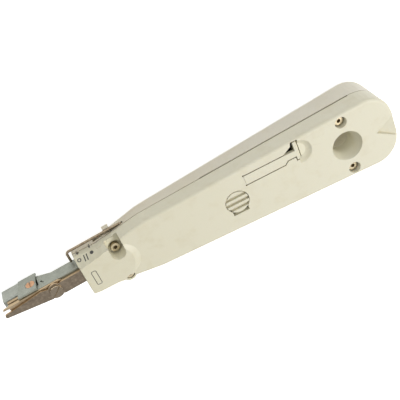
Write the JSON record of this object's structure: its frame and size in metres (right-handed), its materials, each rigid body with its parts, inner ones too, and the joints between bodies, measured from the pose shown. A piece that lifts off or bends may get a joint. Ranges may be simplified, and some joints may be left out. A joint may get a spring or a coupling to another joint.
{
  "type": "wire insertion tool",
  "caption": "Hand tool that pushes a wire into a slotted contact and trims it: tapered two-part grip, sprung scissor head, side lock and tools that fold out.",
  "frame": {"origin": "under the middle of the whole tool, on the plane of its flat back", "axes": "+X from the head to the tail, +Z from the flat back to the face, +Y towards the side with the lock wire"},
  "size_m": [0.1776, 0.0324, 0.0235],
  "materials": {
    "face_plastic": "cream, fine texture",
    "back_plastic": "cream, fine texture",
    "dark_plastic": "satin",
    "cast_zinc": "grey-green, satin",
    "copper_plate": "satin copper",
    "bronzed_steel": "bronzed",
    "dark_steel": "dark bronzed",
    "screw_steel": "satin",
    "spring_steel": "satin",
    "tool_steel": "brushed",
    "insert_brass": "knurled"
  },
  "bodies": {
    "housing": {"front_shell": "face_plastic", "rear_shell": "back_plastic", "nose_screws": "screw_steel", "tail_screws": "screw_steel", "shell_inserts": "insert_brass", "closing_cam": "spring_steel", "spring_seat": "dark_plastic", "main_spring": "spring_steel", "button_spring": "spring_steel"},
    "head": {"ram": "cast_zinc", "clamp_plate": "cast_zinc", "adjust_screw": "copper_plate", "insertion_blade": "bronzed_steel", "fixed_blade": "bronzed_steel", "pivot_screw": "dark_steel", "pivot_nut": "screw_steel", "jaw_spring": "spring_steel", "guide_rod": "screw_steel", "sensor_spring": "spring_steel"},
    "jaw": {"moving_blade": "dark_steel"},
    "sensor": {"sensor_tip": "cast_zinc"},
    "lock": {"lock_wire": "bronzed_steel", "lock_slider": "back_plastic"},
    "button": {"push_button": "face_plastic"},
    "tongue": {"latch_tongue": "face_plastic"},
    "hook_arm": {"fold_hook": "tool_steel"},
    "blade_arm": {"fold_blade": "tool_steel"}
  },
  "joints": [
    {"name": "head_slide", "type": "slide", "parent": "housing", "child": "head", "axis": [1, 0, 0], "range_m": [0, 0.007], "stiffness_N_per_m": 2500, "springref_m": -0.006, "deforming": ["main_spring"]},
    {"name": "jaw_hinge", "type": "hinge", "parent": "head", "child": "jaw", "pos_m": [-0.06625, 0.00175, 0.01285], "axis": [0, 0, 1], "range_deg": [-5, 0]},
    {"name": "sensor_slide", "type": "slide", "parent": "head", "child": "sensor", "axis": [1, 0, 0], "range_m": [0, 0.0013], "stiffness_N_per_m": 400, "springref_m": -0.001, "deforming": ["sensor_spring"]},
    {"name": "lock_slide", "type": "slide", "parent": "housing", "child": "lock", "axis": [-1, 0, 0], "range_m": [0, 0.0053]},
    {"name": "button_push", "type": "slide", "parent": "housing", "child": "button", "axis": [0, 0, -1], "range_m": [0, 0.0012], "stiffness_N_per_m": 900, "springref_m": -0.001, "deforming": ["button_spring"]},
    {"name": "tongue_hinge", "type": "hinge", "parent": "housing", "child": "tongue", "pos_m": [0.02206, 0.0076, 0.01747], "axis": [0, 1, 0], "range_deg": [0, 3], "stiffness_Nm_per_rad": 0.05},
    {"name": "hook_fold", "type": "hinge", "parent": "housing", "child": "hook_arm", "pos_m": [0.06695, 0.0119, 0.01281], "axis": [-0.0497, 0, 0.9988], "range_deg": [-140, 0]},
    {"name": "blade_fold", "type": "hinge", "parent": "housing", "child": "blade_arm", "pos_m": [0.06695, -0.0119, 0.01281], "axis": [-0.0497, 0, 0.9988], "range_deg": [0, 140]}
  ],
  "couplings": [
    {"joint": "jaw_hinge", "follows": "head_slide", "rad_per_m": -12.46}
  ]
}
